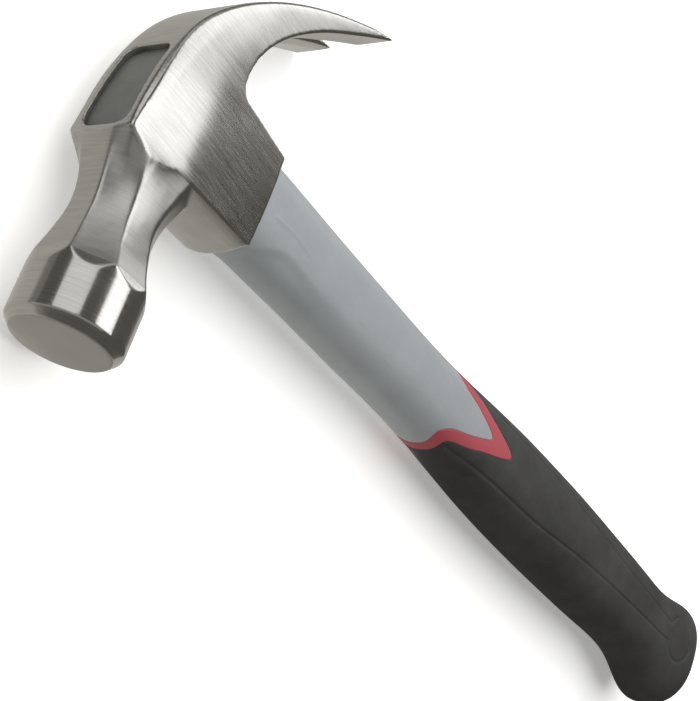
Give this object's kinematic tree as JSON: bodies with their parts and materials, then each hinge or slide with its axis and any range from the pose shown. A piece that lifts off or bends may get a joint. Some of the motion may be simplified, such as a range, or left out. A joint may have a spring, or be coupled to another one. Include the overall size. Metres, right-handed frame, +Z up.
{
  "type": "claw hammer",
  "caption": "Curved-claw nail hammer: forged steel head with an octagonal neck and round poll, on a fibreglass-cored plastic handle with a rubber grip.",
  "frame": {"origin": "middle of the bottom of the bounding box, with the hammer lying on its side on a flat surface", "axes": "+X along the handle from the butt to the head; +Y the way the striking face points; +Z up, square to both cheeks of the head"},
  "size_m": [0.362, 0.13, 0.0348],
  "materials": {
    "forged_steel": "satin, belt-finished on the cheeks, claws and neck facets, polished round the poll",
    "epoxy": "cast, dull dark grey",
    "seal_foam": "soft closed-cell plug",
    "fibreglass": "pultruded glass fibre in polyester",
    "jacket_plastic": "satin moulded light grey",
    "band_rubber": "matt red thermoplastic rubber",
    "grip_rubber": "matt black thermoplastic rubber with fine moulded grooves"
  },
  "bodies": {
    "root": {"head": "forged_steel", "eye_bond": "epoxy", "eye_seal": "seal_foam", "core_rod": "fibreglass", "jacket": "jacket_plastic", "accent_band": "band_rubber", "grip": "grip_rubber"}
  },
  "joints": []
}
